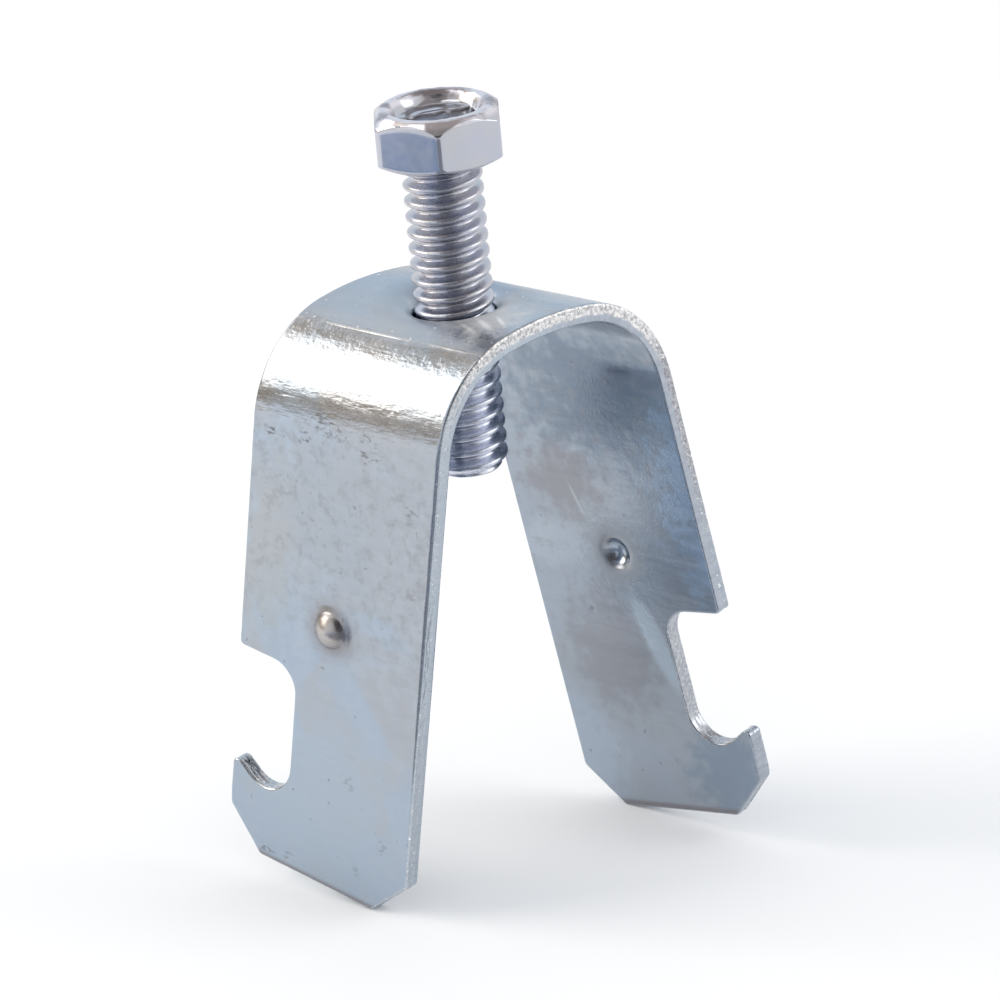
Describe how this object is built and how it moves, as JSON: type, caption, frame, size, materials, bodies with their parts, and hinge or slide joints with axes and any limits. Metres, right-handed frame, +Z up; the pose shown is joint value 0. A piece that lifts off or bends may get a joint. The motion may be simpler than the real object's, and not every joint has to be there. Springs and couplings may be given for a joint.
{
  "type": "strut pipe clamp",
  "caption": "U-shaped clamp folded from a skewed strip of sheet steel, with hooked legs for a strut channel and a hex head screw through its crown that presses the pipe down.",
  "frame": {"origin": "on the screw's axis, level with the bottoms of the two hook pockets, where the strut's lips bear", "axes": "+Z up along the screw, towards its head; +Y along the pipe and the bend lines; X across the two legs"},
  "size_m": [0.0268, 0.0346, 0.0632],
  "materials": {
    "zinc_sheet": "zinc plated sheet, pale blue-grey",
    "zinc_screw": "bright zinc plated, lavender-grey"
  },
  "bodies": {
    "clamp": {"clamp_body": "zinc_sheet"},
    "screw": {"clamp_screw": "zinc_screw"}
  },
  "joints": [
    {"name": "screw_travel", "type": "slide", "parent": "clamp", "child": "screw", "axis": [0, 0, 1], "range_m": [-0.01115, 0.01135]}
  ]
}
